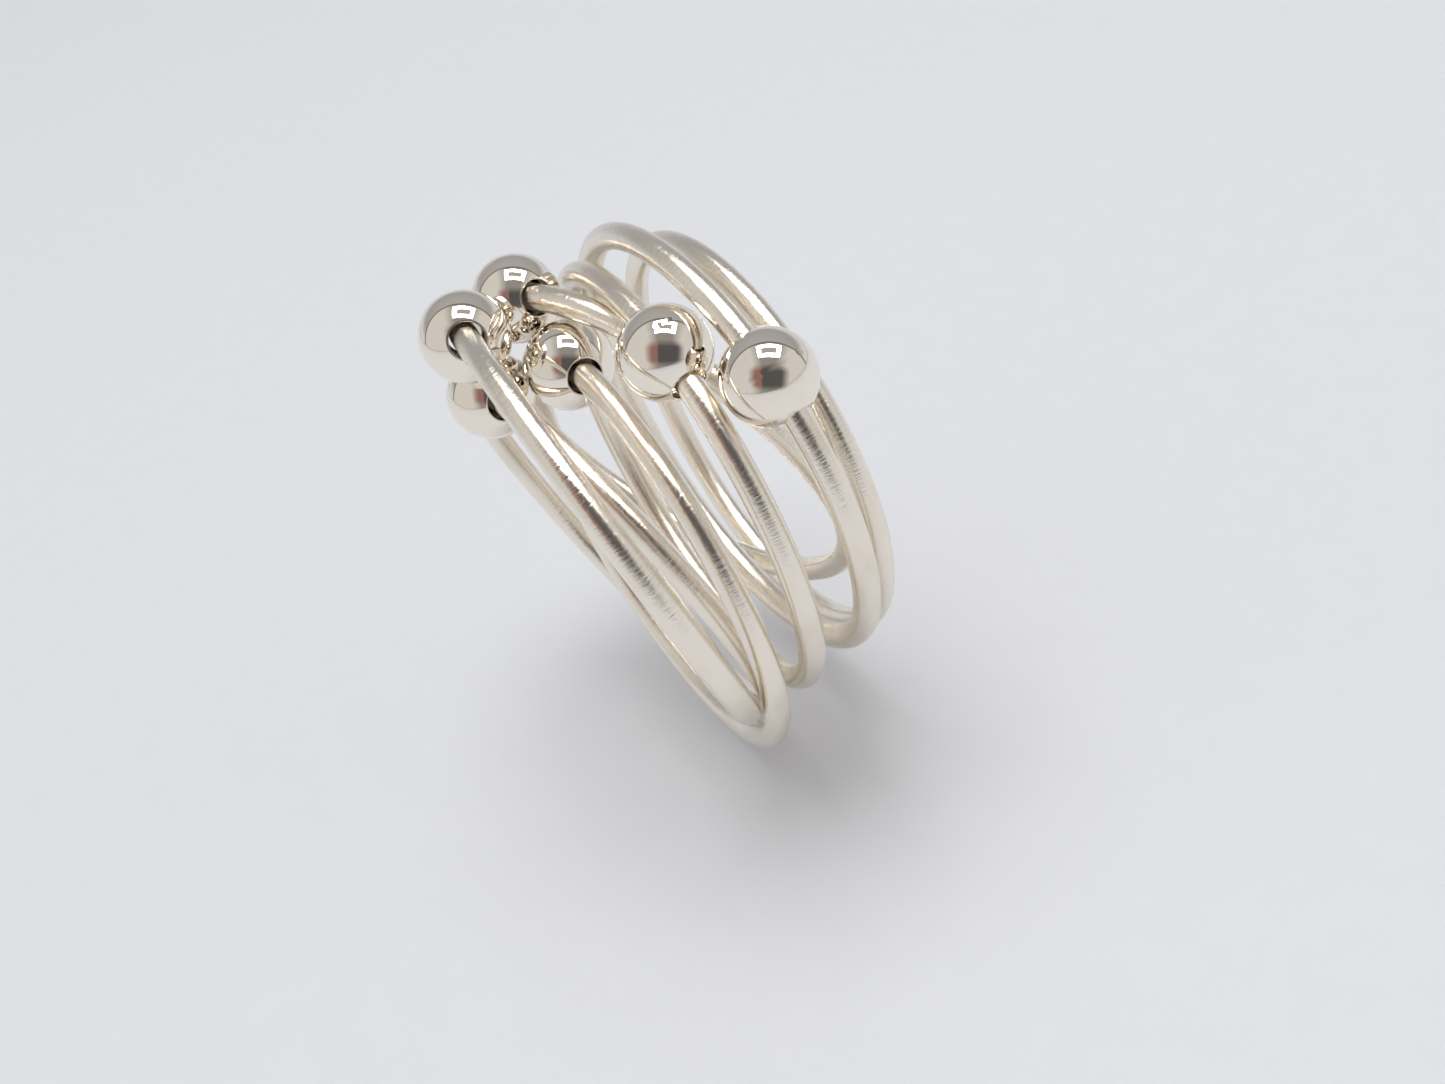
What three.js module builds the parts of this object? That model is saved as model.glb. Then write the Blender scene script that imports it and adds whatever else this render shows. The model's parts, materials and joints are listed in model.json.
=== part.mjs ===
// Finger ring made of seven loose round-wire hoops, all of one size, that lie
// through and over each other. A hollow drilled ball bead is threaded on each hoop.
//
// Millimetres. The origin is the middle of the finger hole, +X runs along the
// finger, +Z points to the side where the hoops fan apart and carry their beads.
import * as THREE from 'three';

// Driving dimensions.
const hoopRadius = 9.65;
const wireDiameter = 1.1;
const beadDiameter = 3.7;
const beadWall = 0.3;
const holeClearance = 0.12;

// How finely the solids are faceted.
const hoopSteps = 64;
const wireSides = 8;
const beadSides = 16;
const outerSteps = 10;
const innerSteps = 6;

// The wire bends a little inside its bead, so the bead is centred on the chord
// between its two holes, where both holes clear the wire evenly.
const beadRadius = beadDiameter / 2;
const halfSpan = Math.asin(beadRadius / hoopRadius);
const beadReach = hoopRadius * Math.cos(halfSpan);
const holeRadius = wireDiameter / 2 / Math.cos(halfSpan) + holeClearance;

// Where each hoop lies in the tangle: its centre in x, y and z, how far its top leans
// towards +X, how far it is turned about +Z towards +Y, and how far round its bead
// sits from the top, where towards -Y is positive. Millimetres and degrees.
const placements = [
  { x: -2.8, y: 1.35, z: -2.5, lean: -14.25, turn: 7.5, bead: -9 },
  { x: -1.85, y: -0.4, z: -2, lean: -2, turn: 3.5, bead: -4 },
  { x: 0.35, y: -1.35, z: 0.95, lean: -2.25, turn: 1.5, bead: 27.5 },
  { x: 2.2, y: -2.05, z: 2.25, lean: -3, turn: 5.5, bead: 48.5 },
  { x: 4.9, y: 2.15, z: -1, lean: -0.75, turn: 4.5, bead: -86.5 },
  { x: 0.85, y: 2.6, z: 0.75, lean: -18, turn: 23.25, bead: -13.5 },
  { x: -3.65, y: -2.35, z: 1.5, lean: -13.25, turn: -2.5, bead: -20 },
];

const silver = { roughness: 0.12, metalness: 1.0 };
const wireColor = '#c9c6bd';
const beadColor = '#cfccc4';

function radians(degrees) {
  return THREE.MathUtils.degToRad(degrees);
}

function makeHoop(number) {
  const ring = new THREE.TorusGeometry(hoopRadius, wireDiameter / 2, wireSides, hoopSteps);
  ring.rotateY(Math.PI / 2);
  const material = new THREE.MeshStandardMaterial({ color: wireColor, ...silver });
  const mesh = new THREE.Mesh(ring, material);
  mesh.name = `wire_hoop_${number}`;
  return mesh;
}

// One arc of the bead's section, from its hole at one end to its hole at the other.
function sectionArc(radius, steps) {
  const start = Math.asin(holeRadius / radius);
  const points = [];
  for (let step = 0; step <= steps; step += 1) {
    const angle = start + (Math.PI - 2 * start) * (step / steps);
    points.push(new THREE.Vector2(radius * Math.sin(angle), -radius * Math.cos(angle)));
  }
  return points;
}

function makeBead(number) {
  const outer = sectionArc(beadRadius, outerSteps);
  const inner = sectionArc(beadRadius - beadWall, innerSteps).reverse();
  const profile = [...outer, ...inner, outer[0].clone()];
  const shell = new THREE.LatheGeometry(profile, beadSides);
  const material = new THREE.MeshStandardMaterial({ color: beadColor, ...silver });
  const mesh = new THREE.Mesh(shell, material);
  mesh.name = `ball_bead_${number}`;
  mesh.position.z = beadReach;
  return mesh;
}

function makeThreadedHoop(place, index) {
  const number = index + 1;
  const threaded = new THREE.Group();
  threaded.add(makeHoop(number));
  const slide = new THREE.Group();
  slide.rotation.x = radians(place.bead);
  slide.add(makeBead(number));
  threaded.add(slide);
  threaded.position.set(place.x, place.y, place.z);
  threaded.rotation.set(0, radians(place.lean), radians(place.turn), 'ZYX');
  return threaded;
}

const ring = new THREE.Group();
for (const [index, place] of placements.entries()) {
  ring.add(makeThreadedHoop(place, index));
}

export default ring;
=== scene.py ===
# Looks for a finger ring of loose round-wire hoops, each threaded through a hollow
# ball bead. Every hoop and bead is rebuilt finely, in metres, where the frame has it.
import json
import math

import bpy
from mathutils import Matrix, Vector


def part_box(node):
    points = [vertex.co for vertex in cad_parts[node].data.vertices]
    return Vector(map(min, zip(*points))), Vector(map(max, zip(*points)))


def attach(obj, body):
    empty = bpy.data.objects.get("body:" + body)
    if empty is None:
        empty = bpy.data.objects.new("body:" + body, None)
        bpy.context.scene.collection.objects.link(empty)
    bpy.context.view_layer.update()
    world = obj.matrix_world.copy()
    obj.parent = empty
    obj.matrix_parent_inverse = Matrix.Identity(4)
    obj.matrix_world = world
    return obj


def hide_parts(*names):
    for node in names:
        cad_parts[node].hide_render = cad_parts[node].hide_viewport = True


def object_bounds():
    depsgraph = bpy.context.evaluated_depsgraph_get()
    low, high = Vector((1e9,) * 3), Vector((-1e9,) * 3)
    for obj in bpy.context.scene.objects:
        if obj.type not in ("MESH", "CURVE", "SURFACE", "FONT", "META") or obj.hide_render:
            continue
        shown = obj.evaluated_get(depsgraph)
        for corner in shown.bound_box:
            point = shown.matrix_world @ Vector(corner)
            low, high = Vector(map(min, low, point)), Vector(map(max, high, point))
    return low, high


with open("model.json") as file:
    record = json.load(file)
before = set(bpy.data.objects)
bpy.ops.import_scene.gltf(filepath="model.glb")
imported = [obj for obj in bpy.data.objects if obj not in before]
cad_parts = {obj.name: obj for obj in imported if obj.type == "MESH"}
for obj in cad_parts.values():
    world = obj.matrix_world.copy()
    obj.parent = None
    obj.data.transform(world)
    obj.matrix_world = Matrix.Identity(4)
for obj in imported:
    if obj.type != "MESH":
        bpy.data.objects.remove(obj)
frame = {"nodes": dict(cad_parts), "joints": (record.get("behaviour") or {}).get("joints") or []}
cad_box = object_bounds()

MM = 0.001

# Driving dimensions, the same as the CAD model's.
WIRE_RADIUS = 0.55 * MM
BEAD_RADIUS = 1.85 * MM
BEAD_WALL = 0.3 * MM
HOLE_CLEARANCE = 0.12 * MM

# Small features of the finished surfaces.
LIP_RADIUS = 0.07 * MM
SOLDER_SWELL = 0.022 * MM
SOLDER_WIDTH = 0.35 * MM
WIRE_WANDER = 0.006 * MM
WELD_DEPTH = 0.008 * MM
WELD_WIDTH = 0.05 * MM
BEAD_DIMPLE = 0.006 * MM
DIMPLE_WAVES = 3
SLOW_WAVES = 2
SLOW_SHIFT = 1.7
FAST_WAVES = 5
FAST_SHIFT = 2.9
FAST_SHARE = 0.6

# How far apart the hoops, and the beads, take their marks from the same noise.
HOOP_MARK_SHIFT = 100
BEAD_MARK_SHIFT = 10

# How finely the pieces are meshed.
HOOP_STEPS = 384
WIRE_SIDES = 32
BEAD_SIDES = 96
BALL_STEPS = 56
LIP_STEPS = 8

# The photographer's view: where the lens looks from, and how the picture is held.
VIEW_AZIMUTH = math.radians(-15.0)
VIEW_ELEVATION = math.radians(35.9)
VIEW_ROLL = math.radians(18.8)
VIEW_DISTANCE = 66.9 * MM
VIEW_LENS = 38.4
VIEW_AIM = Vector((0.86, -2.02, -2.39)) * MM
SENSOR_WIDTH = 36.0
NEAREST_SEEN = 1.0 * MM

# Silver, clean and aged, and how deep the marks in it are.
WIRE_CLEAN = (0.90, 0.84, 0.74)
WIRE_AGED = (0.74, 0.645, 0.50)
BEAD_CLEAN = (0.92, 0.86, 0.765)
BEAD_AGED = (0.78, 0.70, 0.585)
HAMMER_DEPTH = 0.02 * MM
CROSS_MARK_DEPTH = 0.026 * MM
DRAWING_DEPTH = 0.003 * MM
PIT_DEPTH = 0.004 * MM
HAIRLINE_DEPTH = 0.002 * MM

# The paper that the ring hangs over.
PAPER_DARK = (0.810, 0.830, 0.875)
PAPER_LIGHT = (0.835, 0.855, 0.900)
PAPER_GRAIN = 900.0
PAPER_DEPTH = 0.02 * MM
PAPER_ROUGHNESS = 0.75

# The studio: a window light above the camera, a dark patch round the camera, the table.
WINDOW_LIFT = math.radians(55.0)
WINDOW_DISTANCE = 0.30
WINDOW_SIZE = (0.24, 0.165)
WINDOW_FRAME = 0.27
WINDOW_POWER = 11.0
WINDOW_COLOUR = (1.0, 0.985, 0.96)
PANE_POWER = 0.42
PANE_COLOUR = (1.0, 0.93, 0.92)
SHADE_SIZE = (0.190, 0.105)
SHADE_DISTANCE = 0.097
SHADE_DROP = 0.010
SHADE_SPLIT = -0.26
SPLIT_SOFTNESS = 0.03
HAND_COLOUR = (0.29, 0.155, 0.14)
CAMERA_COLOUR = (0.095, 0.092, 0.095)
EDGE_SOFTNESS = 0.50
FLOOR_DROP = 1.5 * MM
FLOOR_SIZE = 4.0
FILL_HEIGHT = 0.9
FILL_SIZE = 0.8
FILL_POWER = 4.4

# The light box round the ring: its walls, and its open side towards the camera.
WALL_LOW = (0.74, 0.76, 0.80)
WALL_MIDDLE = (0.36, 0.355, 0.36)
WALL_TOP = (0.44, 0.44, 0.45)
WALL_MIDDLE_HEIGHT = 0.30
OPENING_TILT = math.radians(24.0)
OPENING_EDGE = -0.23
OPENING_CENTRE = (0.30, 0.285, 0.275)
OPENING_SIDES = (0.66, 0.645, 0.63)
OPENING_RIM = (0.16, 0.145, 0.135)
CENTRE_REACH = 0.28
SIDES_START = 0.62
RIM_FADE_IN = 0.02
RIM_WIDTH = 0.03
RIM_FADE_OUT = 0.07


# ---------------------------------------------------------------- frame lookups

def joint(name):
    for entry in frame["joints"]:
        if entry["name"] == name:
            return entry
    raise KeyError(name)


def box_centre(node):
    low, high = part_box(node)
    return (Vector(low) + Vector(high)) / 2


def hoop_numbers():
    names = [name for name in frame["nodes"] if name.startswith("wire_hoop_")]
    return sorted(int(name.rsplit("_", 1)[1]) for name in names)


def threaded_frame(number):
    """Centre, axis, direction from the centre to the bead, and reach of one hoop."""
    slide = joint(f"bead_slide_{number}")
    centre = Vector(slide["pos_m"])
    axis = Vector(slide["axis"]).normalized()
    outward = box_centre(f"ball_bead_{number}") - centre
    outward -= axis * outward.dot(axis)
    return centre, axis, outward.normalized(), outward.length


# ---------------------------------------------------------------- mesh building

def closed_mesh(name, rows, around, ring_closed):
    """A mesh from rows of points: each row closes round, and rows may close on each other."""
    points = [point for row in rows for point in row]
    count = len(rows)
    faces = []
    uvs = []
    last = count if ring_closed else count - 1
    for i in range(last):
        for j in range(around):
            k = (i + 1) % count
            m = (j + 1) % around
            faces.append((i * around + j, k * around + j, k * around + m, i * around + m))
            uvs.extend([
                (i / last, j / around),
                ((i + 1) / last, j / around),
                ((i + 1) / last, (j + 1) / around),
                (i / last, (j + 1) / around),
            ])
    mesh = bpy.data.meshes.new(name)
    mesh.from_pydata([tuple(point) for point in points], [], faces)
    layer = mesh.uv_layers.new(name="surface")
    for slot, uv in zip(layer.data, uvs):
        slot.uv = uv
    mesh.polygons.foreach_set("use_smooth", [True] * len(mesh.polygons))
    mesh.validate()
    mesh.update()
    piece = bpy.data.objects.new(name, mesh)
    bpy.context.scene.collection.objects.link(piece)
    return piece


def keep_coordinates(piece, name, values):
    """Stores one vector per vertex, so that marks in the material follow the metal."""
    attribute = piece.data.attributes.new(name, "FLOAT_VECTOR", "POINT")
    for item, value in zip(attribute.data, values):
        item.vector = value


def solder_swell(arc, radius):
    """Extra wire radius where the hoop was soldered shut, opposite the bead."""
    from_joint = abs(arc - math.pi) * radius
    return SOLDER_SWELL * math.exp(-((from_joint / SOLDER_WIDTH) ** 2))


def wander(arc, number):
    """Slow drift of the wire's centre line, as in a hoop that was bent by hand and worn."""
    slow = math.sin(SLOW_WAVES * arc + SLOW_SHIFT * number)
    fast = math.sin(FAST_WAVES * arc + FAST_SHIFT * number)
    return WIRE_WANDER * (slow + FAST_SHARE * fast)


def make_hoop(number):
    centre, axis, outward, reach = threaded_frame(number)
    radius = math.hypot(reach, BEAD_RADIUS)
    side = axis.cross(outward)
    rows = []
    marks = []
    for i in range(HOOP_STEPS):
        arc = 2 * math.pi * i / HOOP_STEPS
        spoke = outward * math.cos(arc) + side * math.sin(arc)
        middle = centre + spoke * (radius + wander(arc, number))
        thick = WIRE_RADIUS + solder_swell(arc, radius)
        row = []
        for j in range(WIRE_SIDES):
            turn = 2 * math.pi * j / WIRE_SIDES
            row.append(middle + (spoke * math.cos(turn) + axis * math.sin(turn)) * thick)
            marks.append((
                (arc - math.pi) * radius / MM + HOOP_MARK_SHIFT * number,
                math.cos(turn) * WIRE_RADIUS / MM,
                math.sin(turn) * WIRE_RADIUS / MM,
            ))
        rows.append(row)
    piece = closed_mesh(f"silver_hoop_{number}", rows, WIRE_SIDES, True)
    keep_coordinates(piece, "along_wire", marks)
    return piece


def hole_radius(radius):
    span = math.asin(BEAD_RADIUS / radius)
    return WIRE_RADIUS / math.cos(span) + HOLE_CLEARANCE


def ball_arc(radius, start, steps):
    """Points (distance from the bead's axis, place along it) over one spherical skin."""
    points = []
    for i in range(steps + 1):
        angle = start + (math.pi - 2 * start) * i / steps
        weld = WELD_DEPTH * math.exp(-(((angle - math.pi / 2) * radius / WELD_WIDTH) ** 2))
        reach = radius - (weld if radius == BEAD_RADIUS else 0.0)
        points.append((reach * math.sin(angle), -reach * math.cos(angle)))
    return points


def skin_edge(radius, start, end):
    """Where one spherical skin stops at the hole, at one end of the bead."""
    return Vector((radius * math.sin(start), end * radius * math.cos(start)))


def lip(end, hole, outer_start, inner_start):
    """A rolled edge from the inner skin round to the outer skin, at one end of the hole."""
    inner = BEAD_RADIUS - BEAD_WALL
    a = skin_edge(inner, inner_start, end)
    b = skin_edge(BEAD_RADIUS, outer_start, end)
    corner = Vector((hole, (a.y + b.y) / 2))
    points = []
    for i in range(1, LIP_STEPS):
        t = i / LIP_STEPS
        point = a * (1 - t) ** 2 + corner * (2 * t * (1 - t)) + b * t ** 2
        points.append((point.x, point.y))
    return points


def bead_profile(radius):
    """The closed section of a drilled hollow ball, about its own hole's axis."""
    hole = hole_radius(radius)
    inner = BEAD_RADIUS - BEAD_WALL
    outer_start = math.asin((hole + LIP_RADIUS) / BEAD_RADIUS)
    inner_start = math.asin((hole + LIP_RADIUS) / inner)
    outer = ball_arc(BEAD_RADIUS, outer_start, BALL_STEPS)
    inside = ball_arc(inner, inner_start, BALL_STEPS // 2)
    inside.reverse()
    top = lip(1, hole, outer_start, inner_start)
    top.reverse()
    bottom = lip(-1, hole, outer_start, inner_start)
    return outer + top + inside + bottom


def make_bead(number):
    centre, axis, outward, reach = threaded_frame(number)
    radius = math.hypot(reach, BEAD_RADIUS)
    through = axis.cross(outward)
    middle = centre + outward * reach
    rows = []
    marks = []
    for distance, along in bead_profile(radius):
        row = []
        for j in range(BEAD_SIDES):
            turn = -2 * math.pi * j / BEAD_SIDES
            wave = math.sin(DIMPLE_WAVES * turn + number)
            dimple = BEAD_DIMPLE * wave * distance / BEAD_RADIUS
            spoke = outward * math.cos(turn) + axis * math.sin(turn)
            local = spoke * (distance - abs(dimple)) + through * along
            row.append(middle + local)
            marks.append((
                local.dot(outward) / MM + BEAD_MARK_SHIFT * number,
                local.dot(axis) / MM,
                local.dot(through) / MM,
            ))
        rows.append(row)
    piece = closed_mesh(f"silver_bead_{number}", rows, BEAD_SIDES, True)
    keep_coordinates(piece, "on_bead", marks)
    return piece


# ---------------------------------------------------------------- materials

class Nodes:
    """Short ways to add and join nodes in one material."""

    def __init__(self, name):
        self.material = bpy.data.materials.new(name)
        self.material.use_nodes = True
        self.tree = self.material.node_tree
        self.shader = self.tree.nodes["Principled BSDF"]

    def add(self, kind, **settings):
        node = self.tree.nodes.new(kind)
        for key, value in settings.items():
            setattr(node, key, value)
        return node

    def join(self, source, target):
        self.tree.links.new(source, target)

    def attribute(self, name):
        return self.add("ShaderNodeAttribute", attribute_name=name).outputs["Vector"]

    def noise(self, vector, per_unit, detail=3.0, roughness=0.55):
        """Noise with its own number of grains per unit of length in each direction."""
        stretch = self.add("ShaderNodeVectorMath", operation="MULTIPLY")
        self.join(vector, stretch.inputs[0])
        stretch.inputs[1].default_value = per_unit
        node = self.add("ShaderNodeTexNoise")
        self.join(stretch.outputs["Vector"], node.inputs["Vector"])
        node.inputs["Scale"].default_value = 1.0
        node.inputs["Detail"].default_value = detail
        node.inputs["Roughness"].default_value = roughness
        return node.outputs["Fac"]

    def ranged(self, value, low, high, to_low, to_high):
        node = self.add("ShaderNodeMapRange")
        self.join(value, node.inputs["Value"])
        node.inputs["From Min"].default_value = low
        node.inputs["From Max"].default_value = high
        node.inputs["To Min"].default_value = to_low
        node.inputs["To Max"].default_value = to_high
        return node.outputs["Result"]

    def maths(self, operation, first, second):
        node = self.add("ShaderNodeMath", operation=operation)
        for value, socket in ((first, node.inputs[0]), (second, node.inputs[1])):
            if isinstance(value, float):
                socket.default_value = value
            else:
                self.join(value, socket)
        return node.outputs["Value"]

    def mixed(self, factor, first, second):
        node = self.add("ShaderNodeMix", data_type="RGBA")
        self.join(factor, node.inputs["Factor"])
        for value, socket in ((first, node.inputs["A"]), (second, node.inputs["B"])):
            if isinstance(value, tuple):
                socket.default_value = (*value, 1.0)
            else:
                self.join(value, socket)
        return node.outputs["Result"]

    def bumped(self, height, strength, distance, below=None):
        node = self.add("ShaderNodeBump")
        node.inputs["Strength"].default_value = strength
        node.inputs["Distance"].default_value = distance
        self.join(height, node.inputs["Height"])
        if below is not None:
            self.join(below, node.inputs["Normal"])
        return node.outputs["Normal"]


def wire_silver():
    """Drawn and hand-rubbed silver wire, with long drawing lines, and with cross marks
    that break up its highlights."""
    n = Nodes("polished_silver_wire")
    path = n.attribute("along_wire")
    cross_marks = n.noise(path, (10.0, 2.2, 2.2), 4.0, 0.65)
    hammer = n.noise(path, (1.6, 1.0, 1.0), 2.0)
    drawing = n.noise(path, (0.5, 26.0, 26.0))
    cloud = n.noise(path, (0.35, 0.8, 0.8))
    tarnish = n.ranged(cloud, 0.52, 0.78, 0.0, 0.55)
    n.join(n.mixed(tarnish, WIRE_CLEAN, WIRE_AGED), n.shader.inputs["Base Color"])
    rub = n.ranged(drawing, 0.35, 0.75, 0.10, 0.17)
    haze = n.ranged(cloud, 0.40, 0.75, 0.0, 0.09)
    n.join(n.maths("ADD", rub, haze), n.shader.inputs["Roughness"])
    low = n.bumped(hammer, 0.30, HAMMER_DEPTH)
    middle = n.bumped(cross_marks, 0.9, CROSS_MARK_DEPTH, low)
    fine = n.bumped(drawing, 0.12, DRAWING_DEPTH, middle)
    n.join(fine, n.shader.inputs["Normal"])
    n.shader.inputs["Metallic"].default_value = 1.0
    return n.material


def bead_silver():
    """Tumbled mirror silver: faint hairlines in all directions, a few pits, a little haze."""
    n = Nodes("mirror_silver_bead")
    place = n.attribute("on_bead")
    cloud = n.noise(place, (0.55, 0.55, 0.55))
    pits = n.noise(place, (9.0, 9.0, 9.0), 2.0)
    lines_a = n.noise(place, (30.0, 2.0, 1.0), 2.0)
    lines_b = n.noise(place, (1.5, 1.0, 28.0), 2.0)
    lines = n.maths("MAXIMUM", lines_a, lines_b)
    tarnish = n.ranged(cloud, 0.58, 0.82, 0.0, 0.45)
    n.join(n.mixed(tarnish, BEAD_CLEAN, BEAD_AGED), n.shader.inputs["Base Color"])
    rub = n.ranged(lines, 0.60, 0.80, 0.022, 0.075)
    haze = n.ranged(cloud, 0.45, 0.80, 0.0, 0.06)
    n.join(n.maths("ADD", rub, haze), n.shader.inputs["Roughness"])
    pitted = n.bumped(n.ranged(pits, 0.70, 0.80, 1.0, 0.0), 0.10, PIT_DEPTH)
    lined = n.bumped(lines, 0.05, HAIRLINE_DEPTH, pitted)
    n.join(lined, n.shader.inputs["Normal"])
    n.shader.inputs["Metallic"].default_value = 1.0
    return n.material


def floor_paper():
    """Matt white paper with a very fine grain."""
    n = Nodes("pale_paper")
    place = n.add("ShaderNodeTexCoord").outputs["Object"]
    grain = n.noise(place, (PAPER_GRAIN, PAPER_GRAIN, PAPER_GRAIN))
    n.join(n.mixed(grain, PAPER_DARK, PAPER_LIGHT), n.shader.inputs["Base Color"])
    n.join(n.bumped(grain, 0.15, PAPER_DEPTH), n.shader.inputs["Normal"])
    n.shader.inputs["Roughness"].default_value = PAPER_ROUGHNESS
    return n.material


def glow(name, colour, power):
    """A card that shines evenly."""
    n = Nodes(name)
    n.tree.nodes.remove(n.shader)
    emission = n.add("ShaderNodeEmission")
    emission.inputs["Color"].default_value = (*colour, 1.0)
    emission.inputs["Strength"].default_value = power
    n.join(emission.outputs["Emission"], n.tree.nodes["Material Output"].inputs["Surface"])
    return n.material


def soft_shade(name, left_colour, right_colour):
    """A dim card in two tones, split upright, that fades out towards its edges."""
    n = Nodes(name)
    n.tree.nodes.remove(n.shader)
    split = n.add("ShaderNodeSeparateXYZ")
    n.join(n.add("ShaderNodeTexCoord").outputs["Object"], split.inputs["Vector"])
    left_end = SHADE_SPLIT - SPLIT_SOFTNESS
    right_start = SHADE_SPLIT + SPLIT_SOFTNESS
    side = n.ranged(split.outputs["X"], left_end, right_start, 0.0, 1.0)
    covers = []
    for axis in ("X", "Y"):
        away = n.add("ShaderNodeMath", operation="ABSOLUTE")
        n.join(split.outputs[axis], away.inputs[0])
        full = 1.0 - EDGE_SOFTNESS
        covers.append(n.ranged(away.outputs["Value"], full, 1.0, 1.0, 0.0))
    emission = n.add("ShaderNodeEmission")
    n.join(n.mixed(side, left_colour, right_colour), emission.inputs["Color"])
    clear = n.add("ShaderNodeBsdfTransparent")
    mix = n.add("ShaderNodeMixShader")
    n.join(n.maths("MULTIPLY", *covers), mix.inputs["Fac"])
    n.join(clear.outputs["BSDF"], mix.inputs[1])
    n.join(emission.outputs["Emission"], mix.inputs[2])
    n.join(mix.outputs["Shader"], n.tree.nodes["Material Output"].inputs["Surface"])
    return n.material


# ---------------------------------------------------------------- camera and studio

def look_direction(azimuth, elevation):
    level = math.cos(elevation)
    across = -math.sin(azimuth) * level
    inward = math.cos(azimuth) * level
    return Vector((across, inward, -math.sin(elevation)))


def make_camera():
    """Sets up the view, and returns its right, its up, and the way back to the camera."""
    ahead = look_direction(VIEW_AZIMUTH, VIEW_ELEVATION)
    level = ahead.cross(Vector((0, 0, 1))).normalized()
    right = Matrix.Rotation(VIEW_ROLL, 3, ahead) @ level
    up = right.cross(ahead)
    turn = Matrix((right, up, -ahead)).transposed()
    data = bpy.data.cameras.new("photo_view")
    data.lens = VIEW_LENS
    data.sensor_width = SENSOR_WIDTH
    data.clip_start = NEAREST_SEEN
    camera = bpy.data.objects.new("photo_view", data)
    place = VIEW_AIM - ahead * VIEW_DISTANCE
    camera.matrix_world = Matrix.Translation(place) @ turn.to_4x4()
    bpy.context.scene.collection.objects.link(camera)
    bpy.context.scene.camera = camera
    bpy.context.scene.view_settings.view_transform = "Standard"
    return right, up, -ahead


def card(name, middle, across, upward, width, height, material):
    """A flat rectangle of the studio, centred at middle, in the plane of across and upward."""
    corners = [(-1, -1, 0), (1, -1, 0), (1, 1, 0), (-1, 1, 0)]
    mesh = bpy.data.meshes.new(name)
    mesh.from_pydata(corners, [], [(0, 1, 2, 3)])
    mesh.update()
    piece = bpy.data.objects.new(name, mesh)
    turn = Matrix((across, upward, across.cross(upward))).transposed().to_4x4()
    half = Matrix.Diagonal((width / 2, height / 2, 1.0, 1.0))
    piece.matrix_world = Matrix.Translation(middle) @ turn @ half
    piece.data.materials.append(material)
    bpy.context.scene.collection.objects.link(piece)
    piece.visible_camera = False
    return piece


def mirrored_card(name, middle, across, upward, width, height, material):
    """A card that only shows in the polished metal and leaves the table's light alone."""
    piece = card(name, middle, across, upward, width, height, material)
    piece.visible_shadow = False
    piece.visible_diffuse = False


def make_window(right, up, back):
    """The bright window frame that the polished balls mirror, with a dimmer pane inside it."""
    aim = back * math.cos(WINDOW_LIFT) + up * math.sin(WINDOW_LIFT)
    middle = aim * WINDOW_DISTANCE
    inward = right.cross(aim)
    width, height = WINDOW_SIZE
    bright = glow("window_light", WINDOW_COLOUR, WINDOW_POWER)
    dim = glow("window_pane", PANE_COLOUR, PANE_POWER)
    bar = height * WINDOW_FRAME
    pane_width = width - 2 * bar
    pane_height = height - 2 * bar
    for name, sign in (("window_top", 1), ("window_bottom", -1)):
        place = middle + inward * sign * (height - bar) / 2
        mirrored_card(name, place, right, inward, width, bar, bright)
    for name, sign in (("window_right", 1), ("window_left", -1)):
        place = middle + right * sign * (width - bar) / 2
        mirrored_card(name, place, right, inward, bar, pane_height, bright)
    mirrored_card("window_pane", middle, right, inward, pane_width, pane_height, dim)


def make_camera_shade(right, up, back):
    """The hand and the camera body that show as a small dark patch in each ball."""
    place = back * SHADE_DISTANCE - up * SHADE_DROP
    tones = soft_shade("hand_and_camera", HAND_COLOUR, CAMERA_COLOUR)
    mirrored_card("camera_shade", place, right, up, *SHADE_SIZE, tones)


def make_floor():
    """The table, just under the lowest hoop."""
    lowest = cad_box[0][2]
    middle = Vector((0, 0, lowest - FLOOR_DROP))
    across = Vector((1, 0, 0))
    along = Vector((0, 1, 0))
    floor = card("floor", middle, across, along, FLOOR_SIZE, FLOOR_SIZE, floor_paper())
    floor.visible_camera = True


def make_fill():
    """A wide soft light that keeps the table pale and leaves nothing to mirror."""
    data = bpy.data.lights.new("soft_fill", "AREA")
    data.shape = "DISK"
    data.size = FILL_SIZE
    data.energy = FILL_POWER
    lamp = bpy.data.objects.new("soft_fill", data)
    lamp.location = (0.0, 0.0, FILL_HEIGHT)
    lamp.visible_glossy = False
    bpy.context.scene.collection.objects.link(lamp)


def room_walls(tree, direction):
    """The inside of the light box: pale at table height, grey above, a bit paler on top."""
    split = tree.nodes.new("ShaderNodeSeparateXYZ")
    ramp = tree.nodes.new("ShaderNodeValToRGB")
    tree.links.new(direction, split.inputs["Vector"])
    tree.links.new(split.outputs["Z"], ramp.inputs["Fac"])
    lowest, highest = ramp.color_ramp.elements
    lowest.color = (*WALL_LOW, 1.0)
    highest.color = (*WALL_TOP, 1.0)
    middle = ramp.color_ramp.elements.new(WALL_MIDDLE_HEIGHT)
    middle.color = (*WALL_MIDDLE, 1.0)
    return ramp.outputs["Color"]


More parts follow.
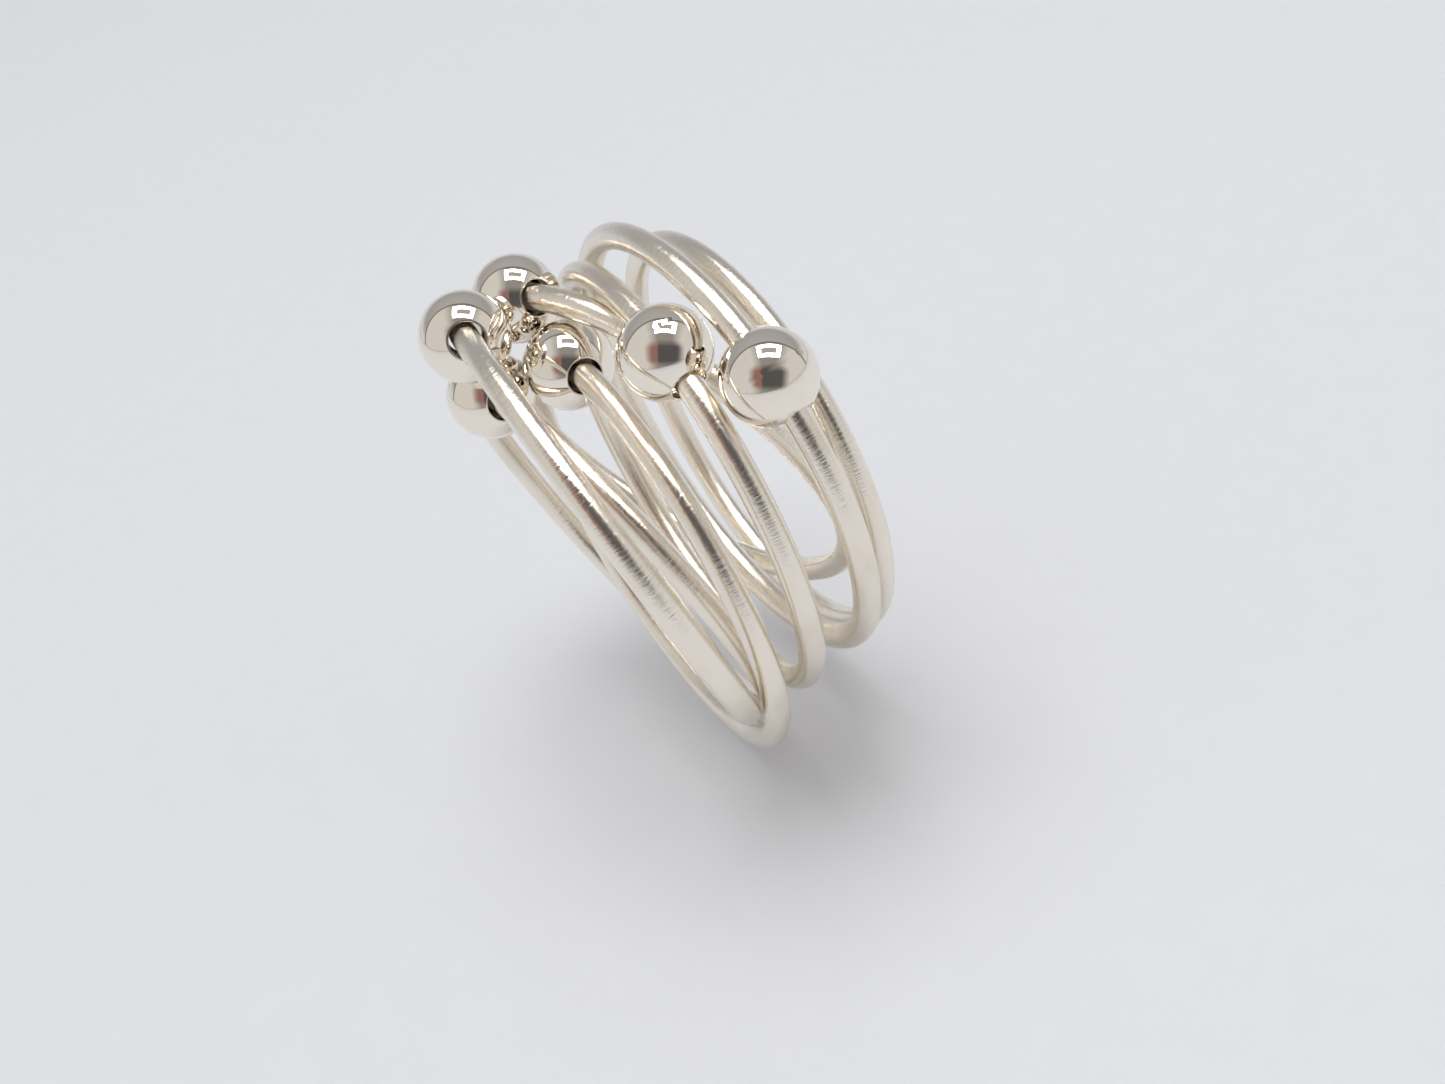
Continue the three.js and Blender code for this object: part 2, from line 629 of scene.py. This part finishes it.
def ramp_along(tree, direction, line, stops):
    """A colour, or an amount, that depends on how far a direction points along one line."""
    dot = tree.nodes.new("ShaderNodeVectorMath")
    dot.operation = "DOT_PRODUCT"
    tree.links.new(direction, dot.inputs[0])
    dot.inputs[1].default_value = line
    shift = tree.nodes.new("ShaderNodeMapRange")
    tree.links.new(dot.outputs["Value"], shift.inputs["Value"])
    shift.inputs["From Min"].default_value = -1.0
    ramp = tree.nodes.new("ShaderNodeValToRGB")
    tree.links.new(shift.outputs["Result"], ramp.inputs["Fac"])
    elements = ramp.color_ramp.elements
    for place, _ in stops[1:-1]:
        elements.new((place + 1) / 2)
    for element, (place, colour) in zip(elements, stops):
        element.position = (place + 1) / 2
        element.color = (*colour, 1.0)
    return ramp.outputs["Color"]


def mixed_colour(tree, factor, first, second):
    mix = tree.nodes.new("ShaderNodeMix")
    mix.data_type = "RGBA"
    for source, socket in ((factor, "Factor"), (first, "A"), (second, "B")):
        tree.links.new(source, mix.inputs[socket])
    return mix.outputs["Result"]


def make_world(right, up, back):
    """A light box round the ring, open towards the camera, where the room is brighter."""
    world = bpy.data.worlds.new("pale_room")
    bpy.context.scene.world = world
    world.use_nodes = True
    tree = world.node_tree
    direction = tree.nodes.new("ShaderNodeTexCoord").outputs["Generated"]
    ahead = back * math.cos(OPENING_TILT) - up * math.sin(OPENING_TILT)
    sides = [
        (-1.0, OPENING_SIDES),
        (-SIDES_START, OPENING_SIDES),
        (-CENTRE_REACH, OPENING_CENTRE),
        (CENTRE_REACH, OPENING_CENTRE),
        (SIDES_START, OPENING_SIDES),
        (1.0, OPENING_SIDES),
    ]
    opening = ramp_along(tree, direction, right, sides)
    black = (0.0, 0.0, 0.0)
    white = (1.0, 1.0, 1.0)
    edge = OPENING_EDGE
    rimmed = [
        (-1.0, black),
        (edge - RIM_FADE_IN, black),
        (edge, white),
        (edge + RIM_WIDTH, white),
        (edge + RIM_FADE_OUT, black),
        (1.0, black),
    ]
    rim = ramp_along(tree, direction, ahead, rimmed)
    open_part = [(-1.0, black), (edge, black), (edge + RIM_WIDTH, white), (1.0, white)]
    inside = ramp_along(tree, direction, ahead, open_part)
    seen = mixed_colour(tree, inside, room_walls(tree, direction), opening)
    dark = tree.nodes.new("ShaderNodeRGB")
    dark.outputs["Color"].default_value = (*OPENING_RIM, 1.0)
    seen = mixed_colour(tree, rim, seen, dark.outputs["Color"])
    sky = tree.nodes["Background"]
    tree.links.new(seen, sky.inputs["Color"])
    sky.inputs["Strength"].default_value = 1.0


# ---------------------------------------------------------------- put it together

def finish_piece(piece, body, node, material):
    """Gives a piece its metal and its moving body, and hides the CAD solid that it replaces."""
    piece.data.materials.append(material)
    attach(piece, body)
    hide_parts(node)


right, up, back = make_camera()
make_world(right, up, back)
make_floor()
make_window(right, up, back)
make_camera_shade(right, up, back)
make_fill()

wire_material = wire_silver()
bead_material = bead_silver()
for number in hoop_numbers():
    hoop = make_hoop(number)
    finish_piece(hoop, f"hoop_{number}", f"wire_hoop_{number}", wire_material)
    bead = make_bead(number)
    finish_piece(bead, f"bead_{number}", f"ball_bead_{number}", bead_material)
